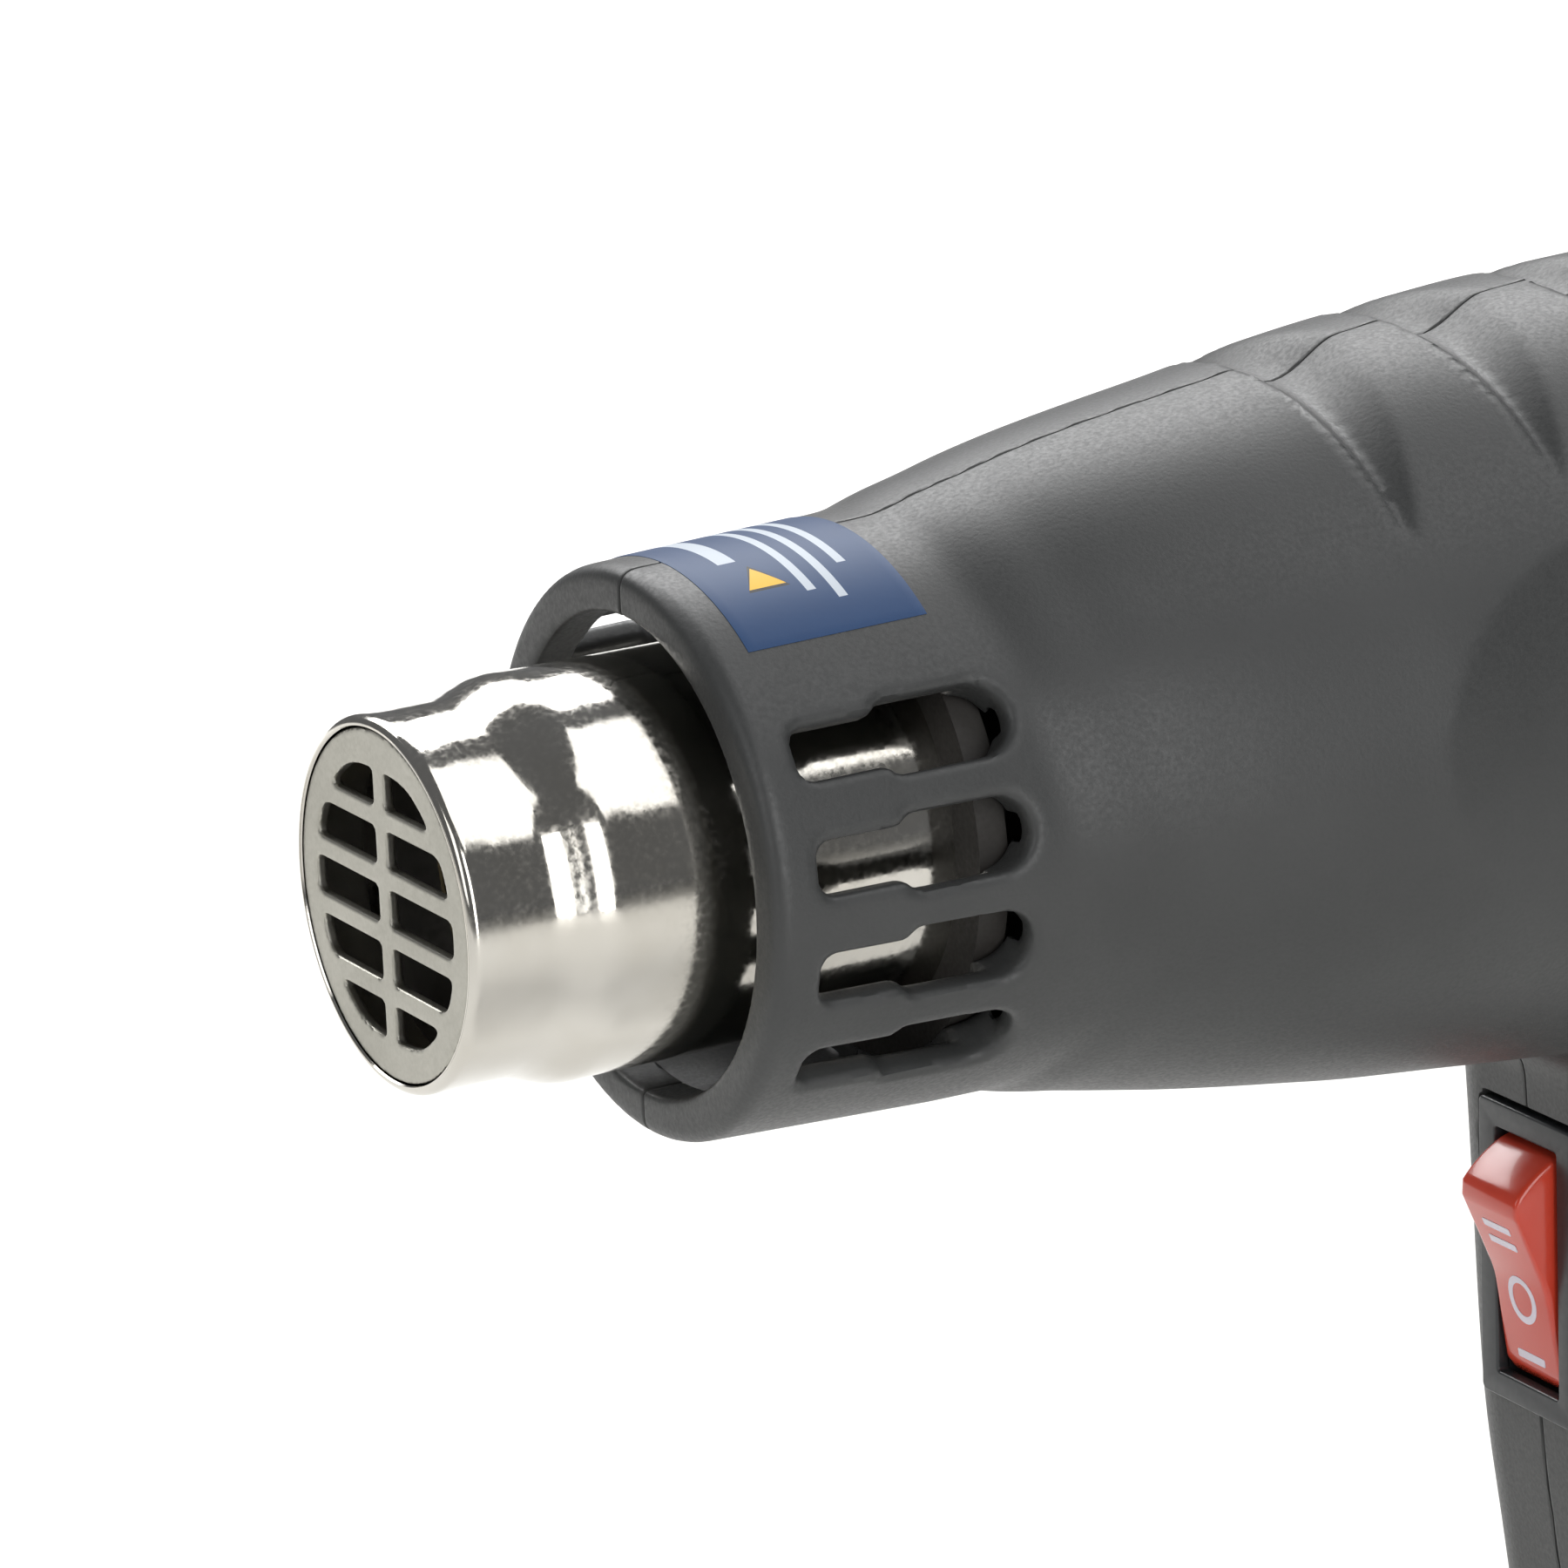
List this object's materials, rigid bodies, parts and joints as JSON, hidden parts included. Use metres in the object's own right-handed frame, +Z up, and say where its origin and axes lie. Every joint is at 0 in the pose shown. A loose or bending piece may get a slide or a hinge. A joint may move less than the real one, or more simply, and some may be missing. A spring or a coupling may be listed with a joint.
{
  "type": "heat gun",
  "caption": "Pistol-grip hot-air gun: plated steel nozzle with grille, slotted and ribbed moulded barrel, fan, motor and heater inside, and a rocker switch.",
  "frame": {"origin": "centre of the nozzle's mouth, on the barrel's axis", "axes": "+X from the nozzle towards the rear cap, +Z up with the handle pointing down, the housing parts on the plane y = 0"},
  "size_m": [0.232, 0.078, 0.2035],
  "materials": {
    "charcoal_plastic": "fine spark-eroded texture, satin",
    "dark_plastic": "smooth satin",
    "nickel_steel": "polished nickel plate",
    "satin_steel": "satin, warm grey",
    "zinc_screw": "bright zinc plate",
    "mica": "translucent flakes, satin",
    "ceramic": "unglazed ceramic",
    "heater_wire": "oxidised resistance wire",
    "glass_fibre": "heat-proof moulding",
    "fan_plastic": "smooth satin",
    "magnet": "sintered ferrite",
    "lamination": "stacked electrical steel",
    "copper": "enamelled copper wire",
    "brass": "bright stamped brass",
    "bronze": "sintered bronze",
    "carbon": "graphite",
    "red_plastic": "glossy orange-red",
    "rubber": "matte",
    "label_print": "printed film",
    "board": "solder-resist green",
    "capacitor_case": "yellow moulding",
    "component": "black epoxy",
    "wire_cover": "insulated wire",
    "supply_cover": "insulated wire",
    "phenolic": "brown moulding"
  },
  "bodies": {
    "gun": {"housing_left": "charcoal_plastic", "housing_right": "charcoal_plastic", "housing_screws": "zinc_screw", "rear_cap": "charcoal_plastic", "cap_screws": "zinc_screw", "intake_screen": "satin_steel", "standing_ring": "rubber", "label": "label_print", "nozzle_tube": "nickel_steel", "nozzle_grille": "satin_steel", "seat_ring": "glass_fibre", "flange_screws": "zinc_screw", "heater_core": "ceramic", "heater_coils": "heater_wire", "mica_sleeve": "mica", "heater_end_discs": "mica", "thermal_cutout": "satin_steel", "fan_duct": "dark_plastic", "motor_can": "satin_steel", "motor_magnets": "magnet", "motor_end_cap": "phenolic", "motor_bushings": "bronze", "carbon_brushes": "carbon", "motor_terminals": "brass", "motor_mount": "dark_plastic", "switch_bezel": "dark_plastic", "switch_body": "dark_plastic", "rocker_pin": "satin_steel", "switch_terminals": "brass", "control_board": "board", "capacitor": "capacitor_case", "choke": "component", "rectifier_diodes": "component", "cord_inlet": "rubber", "cord_clamp": "dark_plastic", "clamp_screws": "zinc_screw", "terminal_block": "ceramic", "motor_leads": "wire_cover", "supply_leads": "supply_cover"},
    "rotor": {"fan": "fan_plastic", "motor_shaft": "satin_steel", "motor_armature": "lamination", "motor_windings": "copper", "commutator": "copper"},
    "rocker": {"switch_rocker": "red_plastic"},
    "contact": {"contact_bridge": "brass"}
  },
  "joints": [
    {"name": "rotor_spin", "type": "hinge", "parent": "gun", "child": "rotor", "pos_m": [0.112, 0, 0], "axis": [1, 0, 0], "continuous": true},
    {"name": "rocker_tilt", "type": "hinge", "parent": "gun", "child": "rocker", "pos_m": [0.12885, 0, -0.0604], "axis": [0, 1, 0], "range_deg": [0, 32]},
    {"name": "contact_tilt", "type": "hinge", "parent": "gun", "child": "contact", "pos_m": [0.14235, 0, -0.0604], "axis": [0, 1, 0], "range_deg": [-12, 0]}
  ],
  "couplings": [
    {"joint": "contact_tilt", "follows": "rocker_tilt", "ratio": -0.375}
  ]
}
